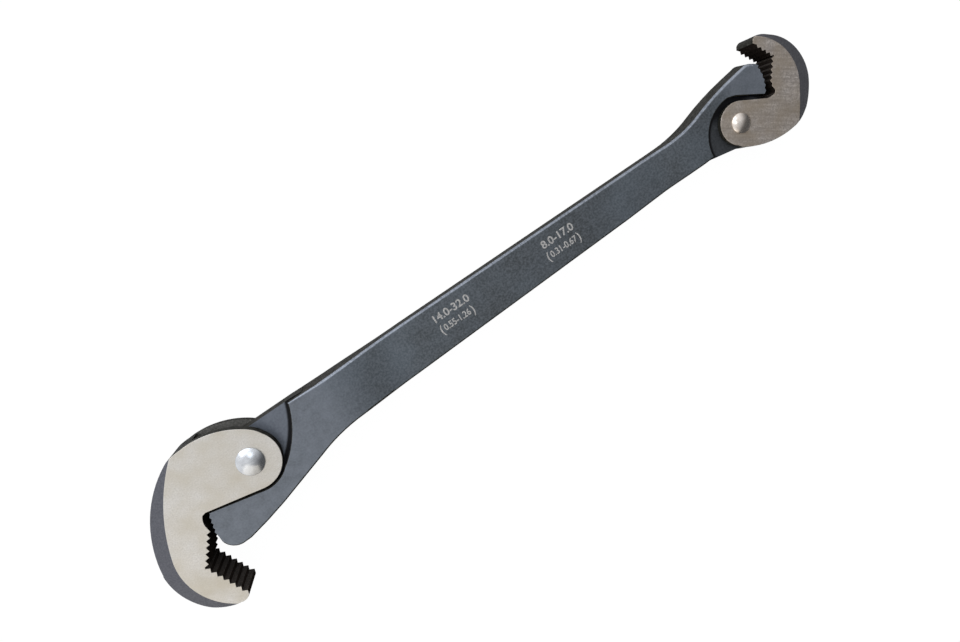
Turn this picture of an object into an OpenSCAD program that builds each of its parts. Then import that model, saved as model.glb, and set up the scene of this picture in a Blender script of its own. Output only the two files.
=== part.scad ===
// Double-ended self-adjusting wrench: a flat forged handle with a fixed jaw at each end,
// and at each end a forked hook jaw that turns on a rivet and is sprung shut.
// Origin: axis of the large pivot, on the back face of the large hook jaw.
// +X runs along the handle to the small end, +Y is the side the small jaws rise to, +Z is the front.

/* [Overall] */
// Distance between the two pivot rivets
pivot_spacing = 200; // [190:1:240]
// Largest nut, across flats, that the large jaws take
large_capacity = 32; // [30:0.5:34]
// Largest nut, across flats, that the small jaws take
small_capacity = 17; // [16:0.25:18]

/* [Handle] */
// Thickness of the middle of the bar
bar_t = 7.5; // [6:0.5:9]
// Thickness of the large fixed jaw
large_jaw_t = 13.5; // [12:0.5:14]
// Thickness of the small fixed jaw
small_jaw_t = 10.5; // [9:0.5:10.5]
// Thickness of the tongue that runs inside the large fork
large_tongue_t = 7.2; // [6:0.2:8]
// Thickness of the tongue that runs inside the small fork
small_tongue_t = 6.2; // [5:0.2:6.8]

/* [Hook jaws] */
// Thickness of the large hook jaw over its two ground faces
large_hook_t = 14.5; // [14:0.5:17]
// Thickness of the small hook jaw over its two ground faces
small_hook_t = 11; // [11:0.5:13]
// Gap between a tongue and each cheek of its fork
side_gap = 0.3; // [0.2:0.05:0.5]
// Slope of the bevel round the back of each hook, from the ground face
bevel_angle = 26; // [20:1:35]
// Depth of the teeth on the large hook
large_tooth_depth = 1.15; // [0.8:0.05:1.3]
// Depth of the teeth on the small hook
small_tooth_depth = 0.85; // [0.6:0.05:1]

/* [Pivot rivets] */
// Diameter of the large rivet's shank
large_shank_d = 6.4; // [5:0.2:7]
// Diameter of the large rivet's domed head
large_head_d = 9.6; // [9:0.2:11]
// Height of the large rivet's domed head
large_head_h = 1.7; // [1.2:0.1:2.4]
// Diameter of the small rivet's shank
small_shank_d = 4.6; // [4:0.2:5]
// Diameter of the small rivet's domed head
small_head_d = 7; // [6.6:0.2:8]
// Height of the small rivet's domed head
small_head_h = 1.4; // [1:0.1:2]
// Radial clearance of a shank in the tongue it turns in
running_clearance = 0.05; // [0.02:0.01:0.1]

/* [Return springs] */
// Wire diameter of the large spring
large_wire_d = 1.2; // [1:0.1:1.3]
// Wire diameter of the small spring
small_wire_d = 0.9; // [0.7:0.1:1]
// Turns of wire in each spring
spring_turns = 2.25; // [1.25:1:2.25]

/* [Hidden] */

$fn = 96;
arc_step = 3;
eps = 0.01;
far = 400;

steel = [0.24, 0.26, 0.29];
ground_steel = [0.72, 0.71, 0.68];
worn_steel = [0.56, 0.54, 0.50];
polished_steel = [0.86, 0.86, 0.85];
spring_steel = [0.45, 0.44, 0.42];

// The middle plane of the whole wrench lies half a large hook above the origin
mid_z = large_hook_t / 2;
// The outlines below are drawn for 32 mm and 17 mm jaws and grow or shrink with them
large_k = large_capacity / 32;
small_k = small_capacity / 17;

// Large head, about its own pivot
large_eye_r = 10.2 * large_k;
large_edge_a = 257.5;          // where the cheek's straight lower edge leaves the eye
large_gap = 0.8 * large_k;     // between that edge and the fixed jaw
large_slot_r = 20 * large_k;   // reach of the fork's slot
large_tongue_r = 19.5 * large_k;
// The bevel's edge: centre and radius of its long arc, its start, and where it turns into
// a tighter arc of the second radius
large_bevel = [[25.3, -38] * large_k, 69.9 * large_k, 128, 159.5, 21.2 * large_k];
bevel_kink = 1;                // slight corner between the two arcs
bevel_overrun = 0.8;           // how far each arc's cutter runs past that corner
large_teeth = 6;

// Rivets: the shank's tail is spread into a countersink, flush with the rear face
large_shank_r = large_shank_d / 2;
small_shank_r = small_shank_d / 2;
large_tail_r = large_shank_r + 1.2;
small_tail_r = small_shank_r + 0.9;
tail_h = 1.4;
dome_share = 0.7;              // of a head's height; the rest is a straight rim

// Return springs, each in a ring-shaped pocket round the boss that the rivet turns in
large_coil_r = 5.3;
small_coil_r = 3.75;
large_leg = 6.5;
small_leg = 4.5;
large_boss_r = large_shank_r + 1;
small_boss_r = small_shank_r + 0.6;
large_pocket_z = -0.6;         // floor of the pocket, from the middle plane
small_pocket_z = -0.4;
pocket_gap = 0.4;              // between the coil's outside and the pocket's wall
floor_gap = 0.1;               // under the coil and each side of its leg
leg_end_gap = 0.3;
coil_pitch = 1.05;             // turn to turn, in wire diameters
large_leg_in = 1.2;            // length of the upright leg held in the front cheek
small_leg_in = 0.8;
leg_hole_gap = 0.15;           // round the leg and past its end

// Small head, about its own pivot and turned half a turn, so that it also points to -X
small_eye_r = 7.45 * small_k;
small_edge_a = 242.5;
small_slot_r = 12.5 * small_k;
small_tongue_r = 12 * small_k;
small_bevel = [[74.95, -49] * small_k, 111.05 * small_k, 146, 154, 16.75 * small_k];

// ---- outline helpers: outlines run anticlockwise, with the steel on their left ----

// Points of an arc about c, both ends included
function arc(c, r, a0, a1) =
    let (n = max(1, ceil(abs(a1 - a0) / arc_step)))
    [for (i = [0:n]) let (a = a0 + (a1 - a0) * i / n) c + r * [cos(a), sin(a)]];

// Points from p to q, both included, on an arc that swells by s to the right of the way
function swell(p, q, s) =
    let (d = norm(q - p), u = (q - p) / d, side = [u.y, -u.x],
        r = (d * d / 4 + s * s) / (2 * abs(s)),
        c = (p + q) / 2 + side * (s - sign(s) * r),
        a0 = atan2(p.y - c.y, p.x - c.x), turn = sign(s) * 4 * atan(2 * abs(s) / d))
    arc(c, r, a0, a0 + turn);

// Teeth from p to q: valleys on the line, points standing out to the right of the way
function teeth(p, q, n, depth) =
    let (u = (q - p) / norm(q - p), side = [u.y, -u.x])
    [for (i = [0:2 * n]) p + (q - p) * i / (2 * n) + side * depth * (i % 2)];

// Teeth round an arc about c, with their points at radius r
function arc_teeth(c, r, a0, a1, n, depth) =
    [for (i = [0:2 * n]) let (a = a0 + (a1 - a0) * i / (2 * n))
        c + (r - depth * (1 - i % 2)) * [cos(a), sin(a)]];

// A quarter-wave ramp from x0, h0 to x1, h1, level at both ends
function ramp(x0, h0, x1, h1) =
    [for (i = [0:10]) [x0 + (x1 - x0) * i / 10, h0 + (h1 - h0) * (1 - cos(18 * i)) / 2]];

// The same points in a head's place: turned half a turn and moved to the far pivot
function at_small_end(points) = [for (p = points) [pivot_spacing - p.x, -p.y]];

// ---- outlines ----

large_hook_outline = large_k * concat(
    arc([0, 0], 10.2, large_edge_a - 360, 33),
    swell([8.35, 6], [5.75, 9.25], 0.2),
    arc([-13.2, -12.8], 29.1, 51, 90),
    swell([-15.5, 16.15], [-21.3, 15.35], 0.25),
    arc([-2.55, -26.25], 45.65, 116, 166.9),
    arc([-27.25, -19.5], 20.3, 171, 225),
    swell([-41, -34.4], [-31.6, -38.1], 0.65),
    swell([-31.3, -38.27], [-28, -37.4], 0.4),
    [[-27.45, -35.8]],
    teeth([-29, -34.95], [-33.7, -21.35], large_teeth, large_tooth_depth),
    teeth([-33.35, -20.8], [-24.6, -10.2], large_teeth, large_tooth_depth),
    swell([-24.6, -9.2], [-23.1, -5.95], -0.3),
    [[-21.8, -5.65]]);

small_hook_outline = small_k * concat(
    arc([0, 0], 7.45, small_edge_a - 360, 54),
    arc([-12.45, -17.15], 29.05, 57, 100),
    swell([-18.3, 11.15], [-23.6, 9.05], 0.25),
    arc([-10.4, -8.1], 21.8, 130, 157),
    arc([-14.95, -5.35], 16.6, 161, 234),
    swell([-22.9, -20], [-18.9, -21.9], 0.25),
    swell([-18.7, -21.9], [-17.1, -21.25], 0.15),
    [[-16.6, -20.2]],
    teeth([-17.6, -19.2], [-21.3, -13], 4, small_tooth_depth),
    teeth([-21.1, -12.7], [-16.2, -5.3], 5, small_tooth_depth),
    [[-15.7, -4.6]],
    swell([-16.1, -3.2], [-14.9, -1.85], -0.35),
    [[-13.7, -1.75], [-12.5, -1.9]]);

// Full-thickness outline of the handle, split into its two ends and its two long edges
large_jaw_edge = large_k * concat(
    arc([-12.8, 21.7], 36.1, -20.8, -54),
    arc([0, 0], 11, -49, large_edge_a - 360),
    [[-21, -6.65]],
    teeth([-21.3, -7.2], [-23.6, -14], 4, 0.5),
    arc([-18.45, -16.2], 5.6, 188, 275));

small_jaw_edge = at_small_end(small_k * concat(
    arc([-0.5, 4.6], 14.2, 0, -88),
    [[-3, -8.7], [-12.6, -3.6]],
    arc_teeth([-2.9, -10.4], 12, 145, 190, 5, 0.4),
    swell([-15, -12.9], [-10.8, -15.65], 0.6)));

low_edge = concat(
    swell(large_k * [-15.6, -21.75], large_k * [8, -15.75], 0.42),
    swell(large_k * [20, -12.15], [36, -9.05], -0.55),
    [[62, -8.62], [75, -8.22]],
    swell([150, -5.95], [pivot_spacing - 17, -4.85], -0.25));

high_edge = concat(
    [[pivot_spacing + 10.5 * small_k, 15.62 * small_k]],
    swell([pivot_spacing + 6 * small_k, 14.95 * small_k], [pivot_spacing - 12.5, 10.4], 0.45),
    swell([pivot_spacing - 13.5, 10.07], [pivot_spacing - 27, 8.2], -0.5),
    swell([pivot_spacing - 35, 8.3], [65, 8.8], -0.15),
    [[34, 8.65]]);

handle_outline = concat(large_jaw_edge, low_edge, small_jaw_edge, high_edge);

// Half thickness of the handle along its length
half_depth = concat(
    [[-far, large_jaw_t / 2]],
    ramp(32, large_jaw_t / 2, 62, bar_t / 2),
    ramp(pivot_spacing - 36, bar_t / 2, pivot_spacing - 16, small_jaw_t / 2),
    [[far, small_jaw_t / 2]]);

// ---- shared shapes ----

// A disc or bar of thickness t, centred on the middle plane
module slab(t) {
    linear_extrude(height = t, center = true) children();
}

module disc(r, t) {
    cylinder(r = r, h = t, center = true);
}

// Wedge that cuts the bevel: its slope crosses the ground face at u = 0 and deepens outwards
module bevel_section(t) {
    reach = 12;
    above = 1;
    polygon([[-above / tan(bevel_angle), t / 2 + above],
        [reach, t / 2 - reach * tan(bevel_angle)], [reach, t / 2 + above]]);
}

// Bevel along the back of a hook on its front face: a long arc, then a tighter one. Their
// cutters cross at the slight corner, so that no sliver of steel is left between them.
module bevel_cut(bevel, t) {
    c1 = bevel[0];
    r1 = bevel[1];
    turn_a = bevel[3];
    r2 = bevel[4];
    start_2 = turn_a + bevel_kink;
    c2 = c1 + r1 * [cos(turn_a), sin(turn_a)] - r2 * [cos(start_2), sin(start_2)];
    translate(c1) rotate(bevel[2]) rotate_extrude(angle = turn_a + bevel_overrun - bevel[2])
        translate([r1, 0]) bevel_section(t);
    translate(c2) rotate(start_2 - bevel_overrun) rotate_extrude(angle = 110)
        translate([r2, 0]) bevel_section(t);
}

// A hook jaw: toothed outline, slot for the tongue, bevelled back, bore, rear countersink,
// and inside the front cheek a small blind hole for the end of the spring
module hook_jaw(outline, t, slot_r, slot_t, bevel, shank_r, tail_r, coil_r, wire_d, leg_in) {
    difference() {
        slab(t) polygon(outline);
        disc(slot_r, slot_t);
        for (face = [0, 1])
            mirror([0, 0, face]) bevel_cut(bevel, t);
        disc(shank_r, t + 2);
        translate([0, 0, -t / 2]) cylinder(r1 = tail_r, r2 = shank_r, h = tail_h);
        translate([0, coil_r, 0])
            cylinder(d = wire_d + 2 * leg_hole_gap, h = slot_t / 2 + leg_in + leg_hole_gap);
    }
}

// Rivet through a head of thickness t: domed in front, countersunk flush behind
module rivet(shank_r, head_r, head_h, t, tail_r) {
    cap = head_h * dome_share;
    dome_r = (head_r * head_r + cap * cap) / (2 * cap);
    disc(shank_r, t);
    translate([0, 0, -t / 2]) cylinder(r1 = tail_r, r2 = shank_r, h = tail_h);
    translate([0, 0, t / 2]) intersection() {
        cylinder(r = head_r, h = head_h);
        translate([0, 0, head_h - dome_r]) sphere(r = dome_r, $fn = 128);
    }
}

// Pocket in a tongue's front for a spring, with a groove for its straight leg
module spring_pocket(boss_r, coil_r, wire_d, leg, floor_z, top_z) {
    depth = top_z - floor_z + 1;
    groove_w = wire_d + 2 * floor_gap;
    translate([0, 0, floor_z]) {
        difference() {
            cylinder(r = coil_r + wire_d / 2 + pocket_gap, h = depth);
            translate([0, 0, -1]) cylinder(r = boss_r, h = depth + 2);
        }
        translate([coil_r - groove_w / 2, -leg - leg_end_gap, 0])
            cube([groove_w, leg + leg_end_gap, depth]);
    }
}

// Stations of a torsion spring: [point, direction to the axis], straight leg, coil, upright leg
function spring_path(coil_r, wire_d, leg, rise) =
    let (steps = 18, n = round(spring_turns * steps), pitch = wire_d * coil_pitch,
        end_a = 360 * spring_turns, end = coil_r * [cos(end_a), sin(end_a)])
    concat(
        [[[coil_r, -leg, 0], 0], [[coil_r, -leg / 2, 0], 0]],
        [for (i = [0:n - 1]) let (a = end_a * i / n)
            [[coil_r * cos(a), coil_r * sin(a), pitch * i / steps], a]],
        [for (z = [pitch * n / steps + wire_d / 2, rise - wire_d, rise])
            [[end.x, end.y, z], end_a]]);

// Round wire swept along those stations, as one closed skin
module spring(coil_r, wire_d, leg, rise) {
    sides = 8;
    path = spring_path(coil_r, wire_d, leg, rise);
    last = len(path) - 1;
    function heading(i) =
        let (d = path[min(i + 1, last)][0] - path[max(i - 1, 0)][0]) d / norm(d);
    function ring(i) =
        let (a = path[i][1], out = [cos(a), sin(a), 0], t = heading(i),
            flat = out - t * (out * t), n1 = flat / norm(flat), n2 = cross(t, n1))
        [for (k = [0:sides - 1]) path[i][0]
            + wire_d / 2 * (n1 * cos(360 * k / sides) + n2 * sin(360 * k / sides))];
    points = [for (i = [0:last]) each ring(i)];
    skin = [for (i = [0:last - 1], k = [0:sides - 1]) let (m = (k + 1) % sides)
        [i * sides + k, (i + 1) * sides + k, (i + 1) * sides + m, i * sides + m]];
    ends = [[for (k = [0:sides - 1]) k], [for (k = [sides - 1:-1:0]) last * sides + k]];
    polyhedron(points, concat(skin, ends), convexity = 6);
}

// ---- sub-parts ----

// Tongue that carries the large pivot: a disc sector that widens into the bar
module large_tongue() {
    intersection() {
        circle(large_tongue_r);
        polygon(large_k * [[-25, 9.4], [2, 9.4], [2, -14], [-25, -14]]);
    }
    polygon(large_k * [[0, 9.4], [22, 9.3], [26, 9], [26, -9], [5, -14], [0, -14]]);
}

module small_tongue() {
    intersection() {
        circle(small_tongue_r);
        polygon(small_k * [[2, 7.45], [-16, 10.2], [-16, -10], [2, -10]]);
    }
    polygon(small_k * [[0, 7.8], [16, 4.85], [16, -8.5], [9, -10], [0, -10]]);
}

module handle() {
    color(steel) translate([0, 0, mid_z]) difference() {
        union() {
            intersection() {
                slab(large_jaw_t) polygon(handle_outline);
                rotate([90, 0, 0]) linear_extrude(height = far, center = true)
                    polygon(concat(half_depth, [for (i = [len(half_depth) - 1:-1:0])
                        [half_depth[i].x, -half_depth[i].y]]));
            }
            slab(large_tongue_t) large_tongue();
            translate([pivot_spacing, 0, 0]) rotate(180) slab(small_tongue_t) small_tongue();
        }
        disc(large_shank_r + running_clearance, far);
        translate([pivot_spacing, 0, 0]) disc(small_shank_r + running_clearance, far);
        spring_pocket(large_boss_r, large_coil_r, large_wire_d, large_leg, large_pocket_z,
            large_tongue_t / 2);
        translate([pivot_spacing, 0, 0]) rotate(180)
            spring_pocket(small_boss_r, small_coil_r, small_wire_d, small_leg, small_pocket_z,
                small_tongue_t / 2);
    }
}

module large_hook_jaw() {
    color(ground_steel) translate([0, 0, mid_z])
        hook_jaw(large_hook_outline, large_hook_t, large_slot_r, large_tongue_t + 2 * side_gap,
            large_bevel, large_shank_r, large_tail_r, large_coil_r, large_wire_d, large_leg_in);
}

module small_hook_jaw() {
    color(worn_steel) translate([pivot_spacing, 0, mid_z]) rotate(180)
        hook_jaw(small_hook_outline, small_hook_t, small_slot_r, small_tongue_t + 2 * side_gap,
            small_bevel, small_shank_r, small_tail_r, small_coil_r, small_wire_d, small_leg_in);
}

module large_pivot_rivet() {
    color(polished_steel) translate([0, 0, mid_z])
        rivet(large_shank_r, large_head_d / 2, large_head_h, large_hook_t, large_tail_r);
}

module small_pivot_rivet() {
    color(polished_steel) translate([pivot_spacing, 0, mid_z])
        rivet(small_shank_r, small_head_d / 2, small_head_h, small_hook_t, small_tail_r);
}

module large_return_spring() {
    base_z = large_pocket_z + floor_gap + large_wire_d / 2;
    rise = large_tongue_t / 2 + side_gap + large_leg_in - base_z;
    color(spring_steel) translate([0, 0, mid_z + base_z])
        spring(large_coil_r, large_wire_d, large_leg, rise);
}

module small_return_spring() {
    base_z = small_pocket_z + floor_gap + small_wire_d / 2;
    rise = small_tongue_t / 2 + side_gap + small_leg_in - base_z;
    color(spring_steel) translate([pivot_spacing, 0, mid_z + base_z]) rotate(180)
        spring(small_coil_r, small_wire_d, small_leg, rise);
}

handle();
large_hook_jaw();
small_hook_jaw();
large_pivot_rivet();
small_pivot_rivet();
large_return_spring();
small_return_spring();
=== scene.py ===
"""Studio scene of a double-ended self-adjusting wrench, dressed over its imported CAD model.

The handle and the two hook jaws are finished copies of their CAD nodes: doubles merged, flat
faces made whole and edges rounded as far as forging, milling or grinding leaves them. Rivets and
springs are made anew to the same sizes. Lengths are in metres where no other unit is named, in
the CAD's frame: X along the handle to the small end, Z out of the front.
"""

from math import cos, pi, radians, sin

import bmesh
import bpy
from mathutils import Matrix, Vector


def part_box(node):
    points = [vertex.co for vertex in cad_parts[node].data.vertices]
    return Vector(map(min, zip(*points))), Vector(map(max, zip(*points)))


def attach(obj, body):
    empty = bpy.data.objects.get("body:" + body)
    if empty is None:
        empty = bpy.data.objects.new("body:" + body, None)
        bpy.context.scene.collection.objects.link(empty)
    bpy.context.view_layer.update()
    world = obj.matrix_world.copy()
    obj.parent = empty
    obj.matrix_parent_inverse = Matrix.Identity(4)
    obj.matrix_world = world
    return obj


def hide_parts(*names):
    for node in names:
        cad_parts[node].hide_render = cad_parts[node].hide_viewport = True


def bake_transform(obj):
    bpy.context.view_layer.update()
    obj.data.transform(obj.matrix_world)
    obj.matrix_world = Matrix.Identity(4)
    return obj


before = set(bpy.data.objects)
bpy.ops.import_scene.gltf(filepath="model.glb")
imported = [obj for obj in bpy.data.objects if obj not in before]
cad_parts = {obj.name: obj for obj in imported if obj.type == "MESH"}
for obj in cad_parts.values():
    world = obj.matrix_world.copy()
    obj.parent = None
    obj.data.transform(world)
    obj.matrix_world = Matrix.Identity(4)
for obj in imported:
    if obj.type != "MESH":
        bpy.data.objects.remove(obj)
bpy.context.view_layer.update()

MM = 0.001
WELD = 0.001 * MM  # Points closer than this are one
CLOSE = 0.01 * MM  # Slack where a place is compared with a level

# Places and levels that the CAD gives
LARGE_PIVOT = Vector((0, 0, 0))
SMALL_PIVOT = Vector((200, 0, 0)) * MM
MID_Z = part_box("large_hook_jaw")[1][2] / 2
LARGE_TONGUE_HALF = 3.6 * MM
SMALL_TONGUE_HALF = 3.1 * MM

# The circle on which each recess wall stands on its floor, and where along Y the floor goes
# from unshaded to shaded in the gap beside the fixed jaw: there and along the wall's foot the
# floor is painted shade
LARGE_CORNER_SHADE = {
    "centre": Vector((-12.8 * MM, 21.7 * MM, MID_Z + LARGE_TONGUE_HALF)),
    "radius": 36.1 * MM,
    "unshaded_y": -5 * MM,
    "shaded_y": -9 * MM,
}
SMALL_CORNER_SHADE = {
    "centre": Vector((200.5 * MM, -4.6 * MM, MID_Z + SMALL_TONGUE_HALF)),
    "radius": 14.2 * MM,
    "unshaded_y": 3 * MM,
    "shaded_y": 7 * MM,
}

# ---------------------------------------------------------------- nodes


def linear(code):
    """An sRGB hex colour as linear red, green, blue and alpha."""
    parts = [int(code[i : i + 2], 16) / 255 for i in (1, 3, 5)]
    return [c / 12.92 if c <= 0.04045 else ((c + 0.055) / 1.055) ** 2.4 for c in parts] + [1]


def add_node(tree, kind, inputs=None, **settings):
    """A node of that kind with its settings made and its inputs filled.

    An input is given by name or place, and takes a value, a socket, or a node, whose first
    socket in use is then the source.
    """
    made = tree.nodes.new(kind)
    for name, value in settings.items():
        setattr(made, name, value)
    for key, value in (inputs or {}).items():
        if isinstance(value, bpy.types.Node):
            value = next(out for out in value.outputs if out.enabled)
        if isinstance(value, bpy.types.NodeSocket):
            tree.links.new(value, made.inputs[key])
        else:
            made.inputs[key].default_value = value
    return made


# A colour Mix node's inputs by place, because its names repeat
SHARE, FIRST, SECOND = 0, 6, 7


def new_material(name):
    """An empty node material and its object coordinates."""
    material = bpy.data.materials.new(name)
    material.use_nodes = True
    tree = material.node_tree
    tree.nodes.clear()
    coords = add_node(tree, "ShaderNodeTexCoord").outputs["Object"]
    return material, tree, coords


def surface_of(tree, inputs):
    """Closes a material with a Principled surface that takes these inputs."""
    shader = add_node(tree, "ShaderNodeBsdfPrincipled", inputs)
    add_node(tree, "ShaderNodeOutputMaterial", {"Surface": shader})


# ---------------------------------------------------------------- patterns in steel


def blotches(tree, coords, size, low=0.0, high=1.0, detail=3.0, edge=0.2):
    """Irregular patches about size across, as a share from low to high."""
    cloud = add_node(
        tree, "ShaderNodeTexNoise", {"Vector": coords, "Scale": 1 / size, "Detail": detail}
    )
    return add_node(
        tree,
        "ShaderNodeMapRange",
        {
            "Value": cloud,
            "From Min": 0.5 - edge,
            "From Max": 0.5 + edge,
            "To Min": low,
            "To Max": high,
        },
    )


# Way that the grinding wheel ran over the hooks, from X
WHEEL_DIRECTION = radians(-34)

# Where along X the bar's finish ends and each head's wear is full
LARGE_HEAD_WEAR = (50 * MM, 26 * MM)
SMALL_HEAD_WEAR = (194 * MM, 206 * MM)

# How far in from the foot of a recess wall its painted shade ends and is full
CORNER_SHADE_EDGE = 1.9 * MM
CORNER_SHADE_FULL = 1.1 * MM


def tool_lines(tree, coords, pitch, run, low, high):
    """Parallel lines a pitch apart that fade after a run, as the grinding wheel leaves them."""
    along = add_node(
        tree,
        "ShaderNodeMapping",
        {"Vector": coords, "Rotation": (0, 0, WHEEL_DIRECTION), "Scale": (run / pitch, 1, 1)},
        vector_type="TEXTURE",
    )
    return blotches(tree, along, pitch, low, high, detail=2.0)


def near_heads(tree, coords):
    """Nothing along the bar, rising to 1 at the two heads of the wrench."""
    along = add_node(tree, "ShaderNodeSeparateXYZ", {"Vector": coords}).outputs["X"]
    heads = [
        add_node(
            tree,
            "ShaderNodeMapRange",
            {"Value": along, "From Min": plain, "From Max": full},
            interpolation_type="SMOOTHSTEP",
        )
        for plain, full in (LARGE_HEAD_WEAR, SMALL_HEAD_WEAR)
    ]
    return add_node(tree, "ShaderNodeMath", {0: heads[0], 1: heads[1]}, operation="ADD")


def painted_corner_shade(tree, coords, centre, radius, unshaded_y, shaded_y):
    """Rises to 1 along the foot of a round wall, and where Y goes from unshaded to shaded: the
    mask of a painted shade.

    The wall stands on the floor of a recess, on a circle of that radius about centre.
    """
    reach = add_node(
        tree, "ShaderNodeVectorMath", {0: coords, 1: centre}, operation="DISTANCE"
    ).outputs["Value"]
    foot = add_node(
        tree,
        "ShaderNodeMapRange",
        {"Value": reach, "From Min": radius - CORNER_SHADE_EDGE, "From Max": radius - CORNER_SHADE_FULL},
        interpolation_type="SMOOTHSTEP",
    )
    across = add_node(tree, "ShaderNodeSeparateXYZ", {"Vector": coords}).outputs["Y"]
    gap = add_node(
        tree,
        "ShaderNodeMapRange",
        {"Value": across, "From Min": unshaded_y, "From Max": shaded_y},
        interpolation_type="SMOOTHSTEP",
    )
    return add_node(tree, "ShaderNodeMath", {0: foot, 1: gap}, operation="MAXIMUM")


# ---------------------------------------------------------------- materials

# Near-black colour of the painted shade in the recess corners and in the gap beside each fixed
# jaw
CORNER_SHADE_COLOUR = "#08090c"


def blasted_blued_steel(name, dark, light, handled, speck, speck_share, corner=None):
    """Drop-forged steel, shot-blasted and then blued.

    Blasting leaves grit-sized dimples that sparkle a little, and the bluing a satin blue-grey
    that drifts in tone. It has thinned to a mottled paler grey where the heads rub on the work.
    A corner, given as what painted_corner_shade takes, is painted near black there as shade.
    """
    material, tree, coords = new_material(name)
    drift = blotches(tree, coords, 18 * MM)
    dimples = blotches(tree, coords, 0.35 * MM, detail=2.0)
    specks = blotches(tree, coords, 0.7 * MM, 0.0, speck_share, edge=0.16)
    wear = add_node(
        tree,
        "ShaderNodeMath",
        {0: near_heads(tree, coords), 1: blotches(tree, coords, 3.5 * MM, 0.5, 0.95)},
        operation="MULTIPLY",
    )
    tone = add_node(
        tree,
        "ShaderNodeMix",
        {SHARE: drift, FIRST: linear(dark), SECOND: linear(light)},
        data_type="RGBA",
    )
    base = add_node(
        tree,
        "ShaderNodeMix",
        {SHARE: wear, FIRST: tone, SECOND: linear(handled)},
        data_type="RGBA",
    )
    colour = add_node(
        tree,
        "ShaderNodeMix",
        {SHARE: specks, FIRST: base, SECOND: linear(speck)},
        data_type="RGBA",
    )
    # Painted shade: the floor darkens to near black along the foot of the recess wall and in the
    # gap beside the fixed jaw
    if corner:
        colour = add_node(
            tree,
            "ShaderNodeMix",
            {SHARE: painted_corner_shade(tree, coords, **corner), FIRST: colour, SECOND: linear(CORNER_SHADE_COLOUR)},
            data_type="RGBA",
        )
    surface_of(
        tree,
        {
            "Base Color": colour,
            "Metallic": 0.65,
            "Roughness": blotches(tree, coords, 1.5 * MM, 0.44, 0.54),
            "Normal": add_node(
                tree,
                "ShaderNodeBump",
                {"Height": dimples, "Distance": 0.02 * MM, "Strength": 0.7},
            ),
        },
    )
    return material


def forge_scale_steel():
    """Sides left from the forge, with oiled black scale: dull, patchy and slightly brown."""
    material, tree, coords = new_material("forge_scale_steel")
    scale = blotches(tree, coords, 1.4 * MM, detail=5.0)
    colour = add_node(
        tree,
        "ShaderNodeMix",
        {SHARE: scale, FIRST: linear("#201f1b"), SECOND: linear("#3c3b35")},
        data_type="RGBA",
    )
    surface_of(
        tree,
        {
            "Base Color": colour,
            "Specular IOR Level": 0.03,
            "Roughness": blotches(tree, coords, 2.5 * MM, 0.5, 0.65),
            "Normal": add_node(
                tree,
                "ShaderNodeBump",
                {"Height": scale, "Distance": 0.04 * MM, "Strength": 0.6},
            ),
        },
    )
    return material


def ground_steel(name, dark, light, tint, tint_share, line_share, pitch):
    """Bare carbon steel off a surface grinder, with a thin film of oil.

    The wheel leaves fine parallel lines, and the film warms the grey in broad soft patches.
    """
    material, tree, coords = new_material(name)
    lines = tool_lines(tree, coords, pitch, 9 * MM, 0.0, line_share)
    grit = blotches(tree, coords, 0.5 * MM, detail=4.0)
    film = blotches(tree, coords, 9 * MM, 0.0, tint_share)
    metal = add_node(
        tree,
        "ShaderNodeMix",
        {SHARE: grit, FIRST: linear(dark), SECOND: linear(light)},
        data_type="RGBA",
    )
    lined = add_node(
        tree,
        "ShaderNodeMix",
        {SHARE: lines, FIRST: metal, SECOND: linear(dark)},
        data_type="RGBA",
    )
    colour = add_node(
        tree,
        "ShaderNodeMix",
        {SHARE: film, FIRST: lined, SECOND: linear(tint)},
        data_type="RGBA",
    )
    surface_of(
        tree,
        {
            "Base Color": colour,
            "Metallic": 0.85,
            "Roughness": tool_lines(tree, coords, 1.5 * MM, 20 * MM, 0.42, 0.5),
            "Normal": add_node(
                tree,
                "ShaderNodeBump",
                {"Height": lines, "Distance": 0.003 * MM, "Strength": 0.5},
            ),
        },
    )
    return material


def blackened_steel(name, dark, light, metallic, specular=0.5):
    """Milled or drawn, then oil-blackened: the thinner the black, the more metal shows."""
    material, tree, coords = new_material(name)
    grain = blotches(tree, coords, 0.6 * MM, detail=4.0)
    colour = add_node(
        tree,
        "ShaderNodeMix",
        {SHARE: grain, FIRST: linear(dark), SECOND: linear(light)},
        data_type="RGBA",
    )
    surface_of(
        tree,
        {
            "Base Color": colour,
            "Metallic": metallic,
            "Specular IOR Level": specular,
            "Roughness": blotches(tree, coords, 3 * MM, 0.42, 0.52),
            "Normal": add_node(
                tree,
                "ShaderNodeBump",
                {"Height": grain, "Distance": 0.01 * MM, "Strength": 0.5},
            ),
        },
    )
    return material


def polished_steel(name, dark, light):
    """Rivet heads burnished by the setting tool: a mirror with a faint smear to it."""
    material, tree, coords = new_material(name)
    smear = blotches(tree, coords, 1.8 * MM)
    colour = add_node(
        tree,
        "ShaderNodeMix",
        {SHARE: smear, FIRST: linear(dark), SECOND: linear(light)},
        data_type="RGBA",
    )
    surface_of(
        tree,
        {
            "Base Color": colour,
            "Metallic": 1.0,
            "Roughness": blotches(tree, coords, 2.2 * MM, 0.2, 0.26),
        },
    )
    return material


def etched_steel():
    """Numbers etched through the bluing: frosted bare steel, uneven where the acid crept."""
    material, tree, coords = new_material("etched_steel")
    frost = blotches(tree, coords, 0.4 * MM)
    colour = add_node(
        tree,
        "ShaderNodeMix",
        {SHARE: frost, FIRST: linear("#8f8e8a"), SECOND: linear("#c4c2bc")},
        data_type="RGBA",
    )
    surface_of(tree, {"Base Color": colour, "Metallic": 0.2, "Roughness": 0.6})
    return material


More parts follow.
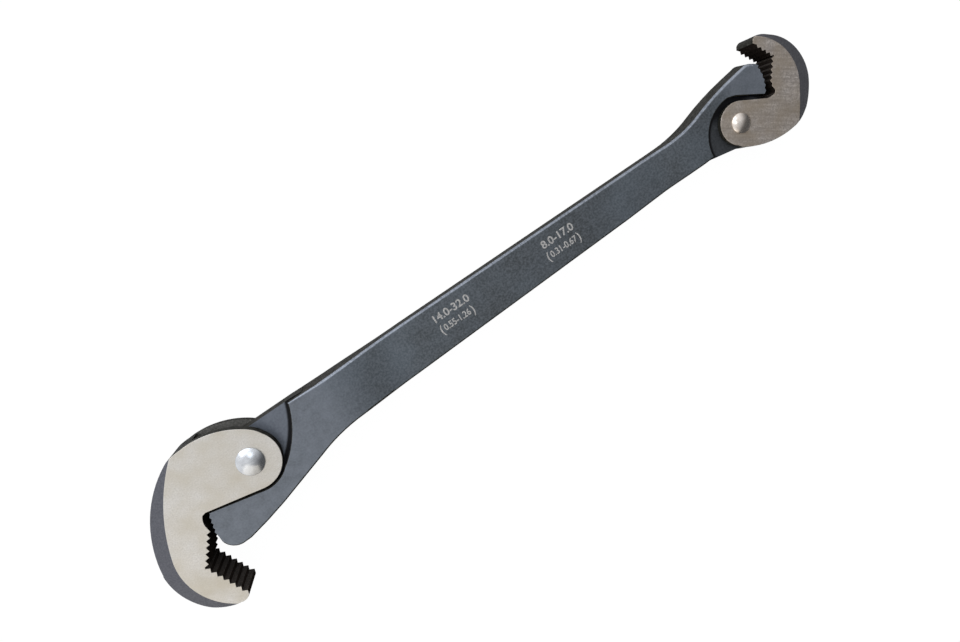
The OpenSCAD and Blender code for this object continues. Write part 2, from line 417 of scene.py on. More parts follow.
BLUED = blasted_blued_steel(
    "blued_forging_steel",
    dark="#464a4b",
    light="#5a6267",
    handled="#777d84",
    speck="#868c92",
    speck_share=0.35,
)
# Paler bluing for the upper rims only: partly rubbed edge wear, partly a painted highlight where
# the rim turns to the light
RUBBED_AND_LIT = blasted_blued_steel(
    "blued_steel_rubbed_edge_and_painted_highlight",
    dark="#676c72",
    light="#7a8087",
    handled="#8c9299",
    speck="#a9aeb4",
    speck_share=0.5,
)
# The large recess floor is a lighter copy of the bar's bluing, painted light against the shade of
# the step and the cheek; its corner also takes painted shade
LARGE_FLOOR_PAINTED_LIGHT = blasted_blued_steel(
    "blued_recess_steel_large_painted_light",
    dark="#5b6067",
    light="#6d737b",
    handled="#6a7078",
    speck="#82888f",
    speck_share=0.35,
    corner=LARGE_CORNER_SHADE,
)
# The small recess floor is a darker copy of the bar's bluing, painted shade for the recess, with
# painted corner shade as well
SMALL_FLOOR_PAINTED_SHADE = blasted_blued_steel(
    "blued_recess_steel_small_painted_shade",
    dark="#3b3d3f",
    light="#484b4d",
    handled="#4a4d4f",
    speck="#5a5e61",
    speck_share=0.4,
    corner=SMALL_CORNER_SHADE,
)
SCALE = forge_scale_steel()
LARGE_GROUND = ground_steel(
    "ground_steel_bright",
    dark="#cbc8bf",
    light="#e2dfd8",
    tint="#c4bca8",
    tint_share=0.7,
    line_share=0.2,
    pitch=0.35 * MM,
)
SMALL_GROUND = ground_steel(
    "ground_steel_dull",
    dark="#a39a91",
    light="#ebe3d9",
    tint="#ae9f89",
    tint_share=0.9,
    line_share=0.8,
    pitch=0.8 * MM,
)
LARGE_BEVEL = blackened_steel("bevel_steel_large", "#525358", "#65666b", metallic=0.6)
SMALL_BEVEL = blackened_steel("bevel_steel_small", "#525255", "#666668", metallic=0.6)
SLOT_STEEL = blackened_steel("slot_steel", "#5f5e58", "#86847d", metallic=0.5)
TOOTH_STEEL = blackened_steel("tooth_steel", "#191613", "#2b2521", metallic=0.0, specular=0.0)
# A lighter black for tooth flanks that face one way: a painted highlight
LIT_TOOTH_FLANK = blackened_steel(
    "tooth_flank_painted_highlight_steel", "#2b2824", "#463f39", metallic=0.0, specular=0.05
)
# Near-black steel for the fillet at the foot of each recess wall: painted shade
CORNER_SHADE_STEEL = blackened_steel("corner_painted_shade_steel", "#0f1118", "#1d212b", metallic=0.2, specular=0.1)
WIRE = blackened_steel("spring_wire", "#56534d", "#7b776f", metallic=0.9)
LARGE_HEAD = polished_steel("burnished_rivet_steel_large", "#c3c5c6", "#dadddd")
SMALL_HEAD = polished_steel("burnished_rivet_steel_small", "#d8ccbe", "#f0e8dd")
ETCHED = etched_steel()

# ---------------------------------------------------------------- finishing copies of the CAD

FLAT_WITHIN = radians(0.3)
CUT_SNAP = 0.0001 * MM  # A cut goes through a point that is closer than this
WALL_RISE = 0.1  # The normal of a side wall rises or falls less than this
ONE_WALL = 0.99999  # Faces whose directions agree this well are one wall

# Depths below a face at which the walls are cut, to draw its rim round
RIM_RINGS = [depth * MM for depth in (0.03, 0.1, 0.25, 0.5, 0.75, 1.0, 1.4)]


def tidy_copy(node):
    """A bmesh of a CAD node with its doubles merged and its flat faces made whole."""
    work = bmesh.new()
    work.from_mesh(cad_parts[node].data)
    bmesh.ops.remove_doubles(work, verts=work.verts, dist=WELD)
    make_flats_whole(work)
    return work


def make_flats_whole(work):
    """Takes out the edges that only divide a flat face."""
    bmesh.ops.dissolve_limit(
        work, angle_limit=FLAT_WITHIN, verts=work.verts, edges=work.edges
    )
    work.normal_update()


def cut_across(work, places, axis):
    """Cuts every face where it crosses these places along an axis."""
    for place in places:
        bmesh.ops.bisect_plane(
            work,
            geom=work.verts[:] + work.edges[:] + work.faces[:],
            plane_co=axis * place,
            plane_no=axis,
            dist=CUT_SNAP,
        )
    work.normal_update()


def outward(vertex):
    """Direction square to the side walls at a vertex, as long as takes both walls back by 1."""
    walls = []
    for face in vertex.link_faces:
        if abs(face.normal.z) < WALL_RISE:
            flat = Vector((face.normal.x, face.normal.y, 0)).normalized()
            if all(flat.dot(other) < ONE_WALL for other in walls):
                walls.append(flat)
    if not walls:
        return None
    if len(walls) == 1:
        return walls[0]
    return (walls[0] + walls[1]) / (1 + walls[0].dot(walls[1]))


def round_rims(work, rear_z, front_z, radius_at):
    """Rounds a plate where its side walls meet its front and its rear.

    The walls are cut a little below each face, and those rings are then drawn in along a
    quarter circle of radius_at(place, outward direction, at the front or not).
    """
    cut_across(work, [rear_z + ring for ring in RIM_RINGS], Vector((0, 0, 1)))
    cut_across(work, [front_z - ring for ring in RIM_RINGS], Vector((0, 0, 1)))
    moves = []
    for vertex in work.verts:
        at_front = vertex.co.z > (rear_z + front_z) / 2
        depth = max(front_z - vertex.co.z if at_front else vertex.co.z - rear_z, 0)
        if depth > RIM_RINGS[-1]:
            continue
        away = outward(vertex)
        radius = radius_at(vertex.co, away, at_front) if away else 0
        if depth < radius:
            drawn_in = radius - (radius**2 - (radius - depth) ** 2) ** 0.5
            moves.append((vertex, away * drawn_in))
    for vertex, move in moves:
        vertex.co -= move
    work.normal_update()


def made_plain(piece):
    """Gives the piece its modifiers' result as its own mesh, with no modifiers left."""
    graph = bpy.context.evaluated_depsgraph_get()
    mesh = bpy.data.meshes.new_from_object(piece.evaluated_get(graph), depsgraph=graph)
    piece.modifiers.clear()
    piece.data = mesh
    mesh.name = piece.name


def add_piece(name, mesh):
    """A piece of the scene with that mesh, at the origin."""
    piece = bpy.data.objects.new(name, mesh)
    bpy.context.collection.objects.link(piece)
    return piece


def piece_from(name, work):
    """A piece with the bmesh's shape, which is then let go."""
    mesh = bpy.data.meshes.new(name)
    work.to_mesh(mesh)
    work.free()
    return add_piece(name, mesh)


def shade(piece, materials, material_of, sharp=35):
    """Smooth shading that keeps flat faces flat, and a material for each face."""
    mesh = piece.data
    for material in materials:
        mesh.materials.append(material)
    mesh.shade_smooth()
    mesh.set_sharp_from_angle(angle=radians(sharp))
    for face in mesh.polygons:
        face.material_index = materials.index(material_of(face.center, face.normal))
    flat = piece.modifiers.new("flat faces stay flat", "WEIGHTED_NORMAL")
    flat.keep_sharp = True
    made_plain(piece)


def mount(piece, body, node):
    """The piece rides on a body and stands in for a CAD node, which is hidden."""
    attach(piece, body)
    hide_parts(node)


def within(box, point):
    """True between the lowest x and y and the highest x and y of a box in millimetres."""
    x0, y0, x1, y1 = [side * MM for side in box]
    return x0 < point.x < x1 and y0 < point.y < y1


def ease(value, start, end):
    """Half a wave from 0 at start to 1 at end, level before and after."""
    share = (value - start) / (end - start)
    return (1 - cos(pi * min(max(share, 0), 1))) / 2


# ---------------------------------------------------------------- handle

# Half thickness of the jaws and of the bar, and the ramps in x between them
LARGE_JAW_HALF = 6.75 * MM
BAR_HALF = 3.75 * MM
SMALL_JAW_HALF = 5.25 * MM
LARGE_RAMP = (32 * MM, 62 * MM)
SMALL_RAMP = (164 * MM, 184 * MM)
RAMP_CUTS = 14

# Boxes for within, round the teeth of the two fixed jaws
FIXED_TEETH = ((-60, -14.3, -20.6, -6.5), (212.3, -60, 260, 14.5))

# How far a recess reaches from its pivot, and how squarely its walls face that pivot
RECESS_REACH = ((LARGE_PIVOT, 26 * MM), (SMALL_PIVOT, 19 * MM))
RECESS_FACING = 0.2

# Rounding of the rims, which grows from the lower edge of the forging to the upper edge as
# the wall turns up
TOOTH_RIM = 0.1 * MM
RECESS_RIM = 0.5 * MM
LOWER_RIM = 0.7 * MM
UPPER_RIM_GAIN = 0.3 * MM
RIM_TURN = (-0.5, 0.3)

# The ends of the small fixed jaw's nose, over its teeth and at its top
NOSE_LOW = Vector((215.0, 12.9, 0)) * MM
NOSE_HIGH = Vector((210.8, 15.65, 0)) * MM
NOSE_FULLNESS = 0.9 * MM

FOOT_FILLET = 0.35 * MM
HOLLOW = -1.0  # Signed angle, in radians, past which an edge lies in a hollow corner

# Rise of the normal: of a floor at least, and of a toothed face or another wall at most
FLOOR_RISE = 0.995
TOOTH_RISE = 0.5
SCALED_RISE = 0.3

# How far over a rim the scale goes on, and then how far the paler bluing, as the normal's rise.
# Scale carried far over the recess rims and the lower rims is painted shade; the paler bluing on
# the upper rims is partly rubbed and partly a painted highlight
RECESS_SHADE_BANDS = (0.93, 0.93)
LOWER_SHADE_BANDS = (0.98, 0.98)
UPPER_HIGHLIGHT_BANDS = (0.3, 0.96)
LOWER_EDGE = -0.15  # A wall that looks down by more than this is on the lower edge


def half_thickness(x):
    """Half the thickness of the jaws and the bar at x."""
    bar = LARGE_JAW_HALF + (BAR_HALF - LARGE_JAW_HALF) * ease(x, *LARGE_RAMP)
    return bar + (SMALL_JAW_HALF - BAR_HALF) * ease(x, *SMALL_RAMP)


def on_fixed_teeth(point):
    """True on the serrated faces of the two fixed jaws."""
    return any(within(box, point) for box in FIXED_TEETH)


def in_recess(place, away):
    """True on the walls and rims of the recesses that were milled for the hooks' eyes."""
    for pivot, reach in RECESS_REACH:
        across = Vector((pivot.x - place.x, pivot.y - place.y, 0))
        if across.length < reach and away.dot(across) > RECESS_FACING * across.length:
            return True
    return False


def handle_rim(place, away, at_front):
    """Soft forged rims on the upper edge, and crisper ones below and round the recesses."""
    if on_fixed_teeth(place):
        return TOOTH_RIM
    if in_recess(place, away):
        return RECESS_RIM
    return LOWER_RIM + UPPER_RIM_GAIN * ease(away.y, *RIM_TURN)


def handle_material(middle, normal):
    """Finish of a face of the handle: black teeth, scale on the walls, and bluing elsewhere.

    The bluing is paler along the upper edge, partly rubbed and partly a painted highlight. The
    recess corners, the recess rims and the lower rims are painted shade in near-black steel and
    scale, and the recess floors are painted lighter or darker.
    """
    rise = abs(normal.z)
    level = Vector((normal.x, normal.y, 0)).normalized()
    if on_fixed_teeth(middle) and rise < TOOTH_RISE:
        return TOOTH_STEEL
    if rise < SCALED_RISE:
        return SCALE
    height = abs(middle.z - MID_Z)
    # Recess floors: lighter and darker copies of the bluing, as painted light and painted shade
    if height < LARGE_TONGUE_HALF + CLOSE and rise > FLOOR_RISE:
        return LARGE_FLOOR_PAINTED_LIGHT if middle.x < SMALL_PIVOT.x / 2 else SMALL_FLOOR_PAINTED_SHADE
    if in_recess(middle, level):
        # The fillet at the foot of a recess wall is painted shade in near-black steel
        if height < LARGE_TONGUE_HALF + FOOT_FILLET:
            return CORNER_SHADE_STEEL
        scale_and_shade, rubbed_and_lit = RECESS_SHADE_BANDS
    elif level.y < LOWER_EDGE:
        scale_and_shade, rubbed_and_lit = LOWER_SHADE_BANDS
    else:
        scale_and_shade, rubbed_and_lit = UPPER_HIGHLIGHT_BANDS
    # Scale past these rises is painted shade on the recess rims and lower rims; the paler bluing
    # on the upper rims is partly a painted highlight
    if rise < scale_and_shade:
        return SCALE
    return RUBBED_AND_LIT if rise < rubbed_and_lit else BLUED


def fill_nose(work):
    """The forging die leaves the small fixed jaw's nose full at the rear, above the teeth."""
    chord = NOSE_HIGH - NOSE_LOW
    out = Vector((chord.y, -chord.x, 0)).normalized()
    for vertex in work.verts:
        along = (vertex.co - NOSE_LOW).dot(chord) / chord.length_squared
        beside = (vertex.co - NOSE_LOW).dot(out)
        if 0 < along < 1 and beside > -CLOSE:
            depth = (MID_Z + LARGE_JAW_HALF - vertex.co.z) / (2 * LARGE_JAW_HALF)
            vertex.co += out * 4 * along * (1 - along) * depth * NOSE_FULLNESS
    work.normal_update()


def round_feet(work):
    """The cutter's corner radius, left along the foot of each recess wall."""
    feet = []
    for edge in work.edges:
        if len(edge.link_faces) != 2 or edge.calc_face_angle_signed(0) > HOLLOW:
            continue
        middle = (edge.verts[0].co + edge.verts[1].co) / 2
        wall = min(edge.link_faces, key=lambda face: abs(face.normal.z))
        at_floor = abs(middle.z - MID_Z) < LARGE_TONGUE_HALF + CLOSE
        if at_floor and in_recess(middle, wall.normal) and not on_fixed_teeth(middle):
            feet.append(edge)
    bmesh.ops.bevel(
        work, geom=feet, offset=FOOT_FILLET, segments=4, profile=0.5, affect="EDGES"
    )
    work.normal_update()


def thicken(work):
    """Brings both faces out to the thickness of the large jaw, from end to end."""
    above_tongues = LARGE_TONGUE_HALF + 0.05 * MM
    for vertex in work.verts:
        if abs(vertex.co.z - MID_Z) > above_tongues:
            vertex.co.z = MID_Z + (LARGE_JAW_HALF if vertex.co.z > MID_Z else -LARGE_JAW_HALF)
    make_flats_whole(work)


def thin_again(work):
    """Takes both faces back with their rims, to the jaws' and the bar's own thickness."""
    for start, end in (LARGE_RAMP, SMALL_RAMP):
        stations = [start + (end - start) * i / RAMP_CUTS for i in range(RAMP_CUTS + 1)]
        cut_across(work, stations, Vector((1, 0, 0)))
    below_rims = LARGE_JAW_HALF - 1.5 * MM
    for vertex in work.verts:
        height = vertex.co.z - MID_Z
        if abs(height) > below_rims:
            excess = LARGE_JAW_HALF - half_thickness(vertex.co.x)
            vertex.co.z -= excess if height > 0 else -excess


def add_handle():
    """The forging is thickened to a plain plate while its rims are rounded, then thinned."""
    work = tidy_copy("handle")
    thicken(work)
    fill_nose(work)
    round_rims(work, MID_Z - LARGE_JAW_HALF, MID_Z + LARGE_JAW_HALF, handle_rim)
    round_feet(work)
    thin_again(work)
    piece = piece_from("forged_handle", work)
    shade(
        piece,
        [BLUED, RUBBED_AND_LIT, SCALE, TOOTH_STEEL, CORNER_SHADE_STEEL, LARGE_FLOOR_PAINTED_LIGHT, SMALL_FLOOR_PAINTED_SHADE],
        handle_material,
    )
    mount(piece, "handle_body", "handle")


# ---------------------------------------------------------------- hook jaws

# Rounding of the rims: on the teeth, elsewhere, and on the dressed top of the large rear cheek
HOOK_TOOTH_RIM = 0.08 * MM
HOOK_RIM = 0.2 * MM
DRESSED_RIM = 1.4 * MM

# A ground face has the upper half of its rim, down to this depth
GROUND_DEPTH = 0.1 * MM
GROUND_RISE = 0.5

# Rise of the normal in the slot, and on the bevel, which slopes 26 degrees from the faces
SLOT_RISE = 0.97
BEVEL_RISE = (0.86, 0.93)

# Tooth flanks that look this way are painted a lighter black, as a painted highlight on the lit
# flanks
LIT_WAY = Vector((0.4, 0.92, 0))
LIT_FACING = 0.5

HOOK_SHARP = 22


def add_hook(name, node, body, ground, bevel, teeth, cheek_top):
    """Hook jaw: ground faces, milled bevel and slot, walls in forge scale, black teeth.

    teeth is a box for within, round the toothed faces. cheek_top(place, away) is how far the
    rear cheek's rim is dressed round there.
    """
    rear_z, front_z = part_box(node)[0][2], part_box(node)[1][2]

    def rim(place, away, at_front):
        if within(teeth, place):
            return HOOK_TOOTH_RIM
        return HOOK_RIM if at_front else max(cheek_top(place, away), HOOK_RIM)

    def material(middle, normal):
        rise = abs(normal.z)
        at_face = min(middle.z - rear_z, front_z - middle.z) < GROUND_DEPTH
        if at_face and rise > GROUND_RISE:
            return ground
        if not at_face and rise > SLOT_RISE:
            return SLOT_STEEL
        if not at_face and BEVEL_RISE[0] < rise < BEVEL_RISE[1]:
            return bevel
        if within(teeth, middle):
            # Flanks facing that way get the lighter black as a painted highlight
            return LIT_TOOTH_FLANK if normal.dot(LIT_WAY) > LIT_FACING else TOOTH_STEEL
        return SCALE

    work = tidy_copy(node)
    round_rims(work, rear_z, front_z, rim)
    piece = piece_from(name, work)
    finishes = [ground, bevel, SLOT_STEEL, SCALE, TOOTH_STEEL, LIT_TOOTH_FLANK]
    shade(piece, finishes, material, sharp=HOOK_SHARP)
    mount(piece, body, node)


def large_cheek_top(place, away):
    """The rear cheek is dressed round along its top, fading out at both ends of the arc."""
    low_y, left_x, fade = 4 * MM, -21 * MM, 4 * MM
    if away.y < 0.1 or place.y < low_y:
        return 0
    return DRESSED_RIM * ease(min(place.y - low_y, place.x - left_x), 0, fade)


def sharp_cheek_top(place, away):
    """The small rear cheek is left as it was milled."""
    return 0


# ---------------------------------------------------------------- rivets

CAP_SHARE = 0.8  # Of a head's height; below it the head's edge is rounded
HEAD_EDGE = 0.35 * MM
EDGE_START = 60  # Degrees up from the head's side, where that rounding meets the cap
TAIL_SPREAD = 1.0 * MM
TAIL_HEIGHT = 1.4 * MM
TAIL_EDGE = (0.15 * MM, 0.12 * MM)  # Width and height of the bevel round the tail's face


def lathe(name, profile, centre, steps=96):
    """A round piece about Z through centre. The profile runs from the top pole to the rear."""
    work = bmesh.new()
    rings = []
    for radius, z in profile:
        turn = [2 * pi * i / steps for i in range(steps)] if radius else [0]
        rings.append(
            [
                work.verts.new((centre.x + radius * cos(a), centre.y + radius * sin(a), z))
                for a in turn
            ]
        )
    for upper, lower in zip(rings, rings[1:]):
        for i in range(steps):
            j = (i + 1) % steps
            corners = [upper[i % len(upper)], lower[i % len(lower)]]
            corners += [lower[j % len(lower)], upper[j % len(upper)]]
            work.faces.new(list(dict.fromkeys(corners)))
    bmesh.ops.recalc_face_normals(work, faces=work.faces)
    return piece_from(name, work)


def arc_points(centre_r, centre_z, radius, start, end, steps):
    """Points of an arc in a profile, its angles in degrees from the radial direction."""
    angles = [radians(start + (end - start) * i / steps) for i in range(steps + 1)]
    return [(centre_r + radius * cos(a), centre_z + radius * sin(a)) for a in angles]


def head_profile(head_r, face_z, top_z):
    """A spherical cap from its top outwards, and the rounded edge down to the ground face."""
    cap_h = CAP_SHARE * (top_z - face_z)
    cap_r = (head_r**2 + cap_h**2) / (2 * cap_h)
    cap = [
        (cap_r * sin(radians(angle)), top_z - cap_r * (1 - cos(radians(angle))))
        for angle in range(0, 60, 2)
        if cap_r * sin(radians(angle)) < head_r - HEAD_EDGE
    ]
    edge_z = cap[-1][1] - 0.35 * HEAD_EDGE
    edge = arc_points(head_r - HEAD_EDGE, edge_z - HEAD_EDGE, HEAD_EDGE, EDGE_START, 0, 5)
    return cap + edge + [(head_r, face_z)]


def add_rivet(name, node, body, pivot, hook, shank_r, finish):
    """Domed head in front, shank, and a tail spread flush into the rear countersink."""
    low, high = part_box(node)
    face_z, rear_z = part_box(hook)[1][2], low[2]
    tail_r = shank_r + TAIL_SPREAD
    profile = head_profile((high[0] - low[0]) / 2, face_z, high[2])
    profile += [(shank_r, face_z), (shank_r, rear_z + TAIL_HEIGHT)]
    profile += [(tail_r, rear_z + TAIL_EDGE[1]), (tail_r - TAIL_EDGE[0], rear_z), (0, rear_z)]
    piece = lathe(name, profile, pivot)
    shade(piece, [finish], lambda middle, normal: finish)
    mount(piece, body, node)


# ---------------------------------------------------------------- return springs

SPRING_TURNS = 2.25
COIL_PITCH = 1.05  # Turn to turn, in wire diameters
TURN_STEPS = 40
WIRE_SIDES = 16


def wire_tree():
    """Geometry nodes that sweep round wire along a line of points."""
    tree = bpy.data.node_groups.new("round_wire", "GeometryNodeTree")
    ports = tree.interface
    ports.new_socket("Path", in_out="INPUT", socket_type="NodeSocketGeometry")
    ports.new_socket("Wire Diameter", in_out="INPUT", socket_type="NodeSocketFloat")
    ports.new_socket("Sides", in_out="INPUT", socket_type="NodeSocketInt")
    ports.new_socket("Finish", in_out="INPUT", socket_type="NodeSocketMaterial")
    ports.new_socket("Wire", in_out="OUTPUT", socket_type="NodeSocketGeometry")
    source = add_node(tree, "NodeGroupInput").outputs
    line = add_node(tree, "GeometryNodeMeshToCurve", {"Mesh": source["Path"]})
    radius = add_node(
        tree, "ShaderNodeMath", {0: source["Wire Diameter"], 1: 0.5}, operation="MULTIPLY"
    )
    section = add_node(
        tree,
        "GeometryNodeCurvePrimitiveCircle",
        {"Resolution": source["Sides"], "Radius": radius},
    )
    wire = add_node(
        tree,
        "GeometryNodeCurveToMesh",
        {"Curve": line, "Profile Curve": section.outputs["Curve"], "Fill Caps": True},
    )
    smooth = add_node(tree, "GeometryNodeSetShadeSmooth", {0: wire})
    whole = add_node(tree, "GeometryNodeRealizeInstances", {"Geometry": smooth})
    dressed = add_node(
        tree, "GeometryNodeSetMaterial", {"Geometry": whole, "Material": source["Finish"]}
    )
    add_node(tree, "NodeGroupOutput", {"Wire": dressed})
    return tree


WIRE_TREE = wire_tree()


def coil_points(coil_r, wire_d, base_z):
    """The coil's middle line, from X round towards Y and up."""
    points = []
    for i in range(round(SPRING_TURNS * TURN_STEPS) + 1):
        angle = 2 * pi * i / TURN_STEPS
        z = base_z + COIL_PITCH * wire_d * i / TURN_STEPS
        points.append((coil_r * cos(angle), coil_r * sin(angle), z))
    return points


def add_spring(name, node, pivot, turned, coil_r, leg, wire_d, base_z, top_z):
    """Torsion spring: a leg in the handle's groove, a coil, and an end held by the hook.

    coil_r and base_z are of the wire's middle line, and its held end stops just below top_z.
    """
    coil = coil_points(coil_r, wire_d, base_z)
    coil_top = coil[-1][2]
    points = [(coil_r, -leg, base_z), (coil_r, -leg / 2, base_z)] + coil
    points.append((0, coil_r, coil_top + 0.6 * wire_d))
    points.append((0, coil_r, top_z - 0.1 * MM))
    place = Matrix.Translation(pivot) @ Matrix.Rotation(turned, 4, "Z")
    mesh = bpy.data.meshes.new(name)
    line = [(i, i + 1) for i in range(len(points) - 1)]
    mesh.from_pydata([place @ Vector(point) for point in points], line, [])
    piece = add_piece(name, mesh)
    sweep = piece.modifiers.new("wire", "NODES")
    sweep.node_group = WIRE_TREE
    values = {"Wire Diameter": wire_d, "Sides": WIRE_SIDES, "Finish": WIRE}
    for item in WIRE_TREE.interface.items_tree:
        if item.in_out == "INPUT" and item.name in values:
            sweep[item.identifier] = values[item.name]
    made_plain(piece)
    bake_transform(piece)
    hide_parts(node)


# ---------------------------------------------------------------- size marks

TYPE_SIZE = 1.38  # Font size to the height of a numeral
TYPE_WEIGHT = 0.03  # Added all round each stroke, as a share of that height
MARK_HALF = 0.01 * MM  # Half the thickness of a mark, which is partly sunk into the bar
MARK_LIFT = 0.005 * MM

METRIC_Y = 3.5 * MM
INCH_Y = -0.8 * MM
BRACKET_X = 6.3 * MM


def add_mark(name, words, x, y, height, stretch):
    """Etched characters on the front of the bar, centred on x, y and stretched along X."""
    curve = bpy.data.curves.new(name, "FONT")
    curve.body = words
    curve.align_x = "CENTER"
    curve.align_y = "CENTER"
    curve.size = TYPE_SIZE * height
    curve.extrude = MARK_HALF
    curve.offset = TYPE_WEIGHT * height
    text = add_piece(name, curve)
    graph = bpy.context.evaluated_depsgraph_get()
    mesh = bpy.data.meshes.new_from_object(text.evaluated_get(graph), depsgraph=graph)
    bpy.data.objects.remove(text)
    work = bmesh.new()
    work.from_mesh(mesh)
    bmesh.ops.remove_doubles(work, verts=work.verts, dist=WELD)
    bmesh.ops.dissolve_degenerate(work, dist=WELD, edges=work.edges)
    bmesh.ops.recalc_face_normals(work, faces=work.faces)
    piece = piece_from(name, work)
    place = Matrix.Translation((x, y, MID_Z + BAR_HALF + MARK_LIFT))
    piece.data.transform(place @ Matrix.Diagonal((stretch, 1, 1, 1)))
    piece.data.materials.append(ETCHED)
    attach(piece, "handle_body")


def add_marks():
    """Plain numbers: each end's range of sizes, in millimetres and below it in inches."""
    for end, x, metric, inches in (
        ("large", 82.2 * MM, "14.0-32.0", "0.55-1.26"),
        ("small", 126.0 * MM, "8.0-17.0", "0.31-0.67"),
    ):
        add_mark(end + "_range_metric", metric, x, METRIC_Y, height=2.7 * MM, stretch=1.05)
        add_mark(end + "_range_inch", inches, x, INCH_Y, height=2.3 * MM, stretch=0.88)
        for bracket, where, side in (("(", "_bracket_left", -1), (")", "_bracket_right", 1)):
            bracket_x = x + side * BRACKET_X
            add_mark(end + where, bracket, bracket_x, INCH_Y, height=3.0 * MM, stretch=0.8)


# ---------------------------------------------------------------- studio

CAMERA_PLACE = Vector((78.3, 45.6, 242.5)) * MM
CAMERA_RIGHT = Vector((0.8229, -0.5463, 0.1561))
CAMERA_UP = Vector((0.5666, 0.8093, -0.1547))
CAMERA_LENS = 26.25
CAMERA_SENSOR = 36
WRENCH_MIDDLE = Vector((90, 0, 7)) * MM

FLOOR_HALF = 3.0
FLOOR_Z = -0.3 * MM
PAPER_GLOW = 1.03  # Light that the paper seems to give off, just past plain white
GLOW_SHARE = 0.95  # The rest is lit by the lamps, and so holds the shadow

# The room is brightest the way that this points, behind on the left
BRIGHT_WAY = (-0.55, 0.8, 0.25)


def add_camera():
    """A camera at CAMERA_PLACE, looking square to CAMERA_RIGHT and CAMERA_UP."""
    data = bpy.data.cameras.new("camera")
    data.lens = CAMERA_LENS
    data.sensor_width = CAMERA_SENSOR
    data.clip_start = 10 * MM
    back = CAMERA_RIGHT.cross(CAMERA_UP).normalized()
    right = CAMERA_UP.cross(back).normalized()
    turn = Matrix((right, back.cross(right), back)).transposed().to_4x4()
    camera = bpy.data.objects.new("camera", data)
    camera.matrix_world = Matrix.Translation(CAMERA_PLACE) @ turn
    bpy.context.collection.objects.link(camera)
    bpy.context.scene.camera = camera


def add_softbox(name, place, size, watts, colour):
    """A square area light that looks at the middle of the wrench."""
    data = bpy.data.lights.new(name, "AREA")
    data.shape = "SQUARE"
    data.size = size
    data.energy = watts
    data.color = linear(colour)[:3]
    lamp = bpy.data.objects.new(name, data)
    lamp.location = place
    lamp.rotation_euler = (WRENCH_MIDDLE - Vector(place)).to_track_quat("-Z", "Y").to_euler()
    bpy.context.collection.objects.link(lamp)


def add_floor():
    """White paper: plain white to the eye but for a trace of the wrench's shadow."""
    mesh = bpy.data.meshes.new("floor")
    turn = ((-1, -1), (1, -1), (1, 1), (-1, 1))
    corners = [(x * FLOOR_HALF, y * FLOOR_HALF, FLOOR_Z) for x, y in turn]
    mesh.from_pydata(corners, [], [(0, 1, 2, 3)])
    material, tree, _ = new_material("white_paper")
    seen = add_node(tree, "ShaderNodeLightPath").outputs["Is Camera Ray"]
    share = add_node(tree, "ShaderNodeMath", {0: seen, 1: GLOW_SHARE}, operation="MULTIPLY")
    paper = add_node(tree, "ShaderNodeBsdfDiffuse", {"Color": linear("#f2f2f2")})
    white = add_node(
        tree, "ShaderNodeEmission", {"Color": linear("#ffffff"), "Strength": PAPER_GLOW}
    )
    mixed = add_node(tree, "ShaderNodeMixShader", {0: share, 1: paper, 2: white})
    add_node(tree, "ShaderNodeOutputMaterial", {"Surface": mixed})
    mesh.materials.append(material)
    add_piece("floor", mesh)


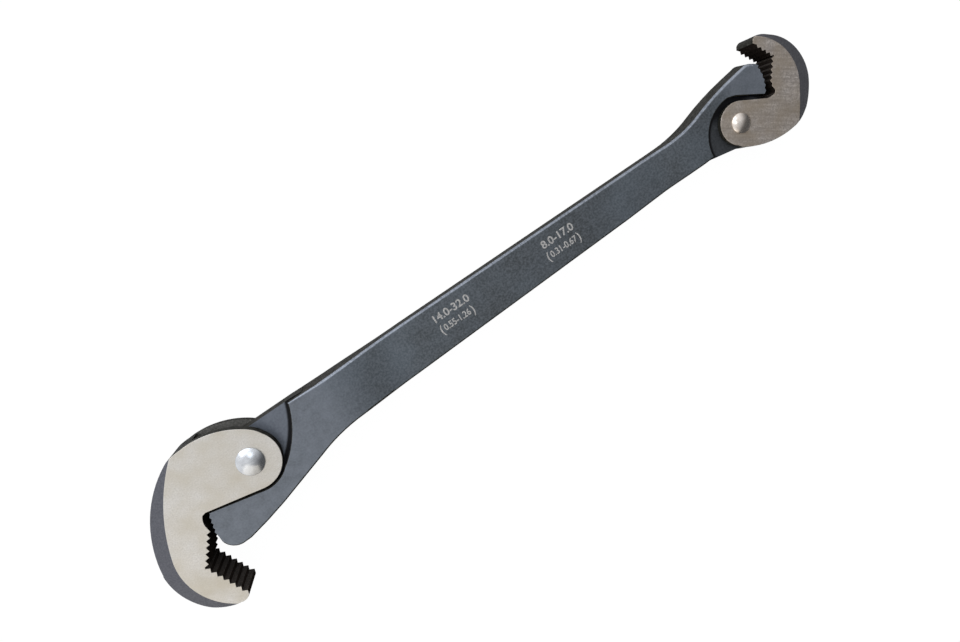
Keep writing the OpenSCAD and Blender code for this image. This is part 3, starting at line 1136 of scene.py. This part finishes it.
def set_room():
    """Soft light from all round: brightest behind on the left, dimmest in front on the right."""
    world = bpy.data.worlds.new("room")
    world.use_nodes = True
    tree = world.node_tree
    tree.nodes.clear()
    direction = add_node(tree, "ShaderNodeTexCoord").outputs["Generated"]
    height = add_node(tree, "ShaderNodeSeparateXYZ", {"Vector": direction}).outputs["Z"]
    facing = add_node(
        tree,
        "ShaderNodeVectorMath",
        {0: direction, 1: BRIGHT_WAY},
        operation="DOT_PRODUCT",
    ).outputs["Value"]
    side = add_node(
        tree,
        "ShaderNodeMapRange",
        {"Value": facing, "From Min": -0.5, "From Max": 0.5, "To Min": 0.1, "To Max": 1.0},
        interpolation_type="SMOOTHSTEP",
    )
    overhead = add_node(
        tree,
        "ShaderNodeMapRange",
        {"Value": height, "From Min": 0.93, "From Max": 0.99, "To Min": 1.0, "To Max": 0.75},
        interpolation_type="SMOOTHSTEP",
    )
    level = add_node(tree, "ShaderNodeMath", {0: side, 1: overhead}, operation="MULTIPLY")
    low = add_node(
        tree,
        "ShaderNodeMapRange",
        {"Value": height, "From Min": 0.5, "From Max": 0.3, "To Min": 0.0, "To Max": 1.0},
    )
    seen = add_node(tree, "ShaderNodeLightPath").outputs["Is Camera Ray"]
    backdrop = add_node(tree, "ShaderNodeMath", {0: low, 1: seen}, operation="MULTIPLY")
    room = add_node(tree, "ShaderNodeBackground", {"Color": linear("#f8f9ff"), "Strength": level})
    white = add_node(tree, "ShaderNodeBackground", {"Color": linear("#ffffff"), "Strength": 1.0})
    mixed = add_node(tree, "ShaderNodeMixShader", {0: backdrop, 1: room, 2: white})
    add_node(tree, "ShaderNodeOutputWorld", {"Surface": mixed})
    bpy.context.scene.world = world


# ---------------------------------------------------------------- the wrench and its studio

add_handle()
add_hook(
    "large_hook",
    node="large_hook_jaw",
    body="large_hook",
    ground=LARGE_GROUND,
    bevel=LARGE_BEVEL,
    teeth=(-35, -37, -21.5, -6.2),
    cheek_top=large_cheek_top,
)
add_hook(
    "small_hook",
    node="small_hook_jaw",
    body="small_hook",
    ground=SMALL_GROUND,
    bevel=SMALL_BEVEL,
    teeth=(213, 1.5, 222.5, 20.5),
    cheek_top=sharp_cheek_top,
)
add_rivet(
    "large_rivet",
    node="large_pivot_rivet",
    body="large_hook",
    pivot=LARGE_PIVOT,
    hook="large_hook_jaw",
    shank_r=3.2 * MM,
    finish=LARGE_HEAD,
)
add_rivet(
    "small_rivet",
    node="small_pivot_rivet",
    body="small_hook",
    pivot=SMALL_PIVOT,
    hook="small_hook_jaw",
    shank_r=2.3 * MM,
    finish=SMALL_HEAD,
)
add_spring(
    "large_spring",
    node="large_return_spring",
    pivot=LARGE_PIVOT,
    turned=0,
    coil_r=5.3 * MM,
    leg=6.5 * MM,
    wire_d=1.2 * MM,
    base_z=7.35 * MM,
    top_z=12.35 * MM,
)
add_spring(
    "small_spring",
    node="small_return_spring",
    pivot=SMALL_PIVOT,
    turned=pi,
    coil_r=3.75 * MM,
    leg=4.5 * MM,
    wire_d=0.9 * MM,
    base_z=7.4 * MM,
    top_z=11.45 * MM,
)
add_marks()

add_camera()
add_floor()
set_room()
add_softbox("key_softbox", (-0.15, 0.85, 0.55), size=1.0, watts=4.5, colour="#eef3ff")
add_softbox("top_softbox", (0.05, 0.18, 0.62), size=0.22, watts=0.2, colour="#e6f0ff")
add_softbox("low_softbox", (-0.35, -0.45, 0.4), size=0.7, watts=0.9, colour="#fff6ea")
bpy.context.scene.view_settings.view_transform = "Standard"
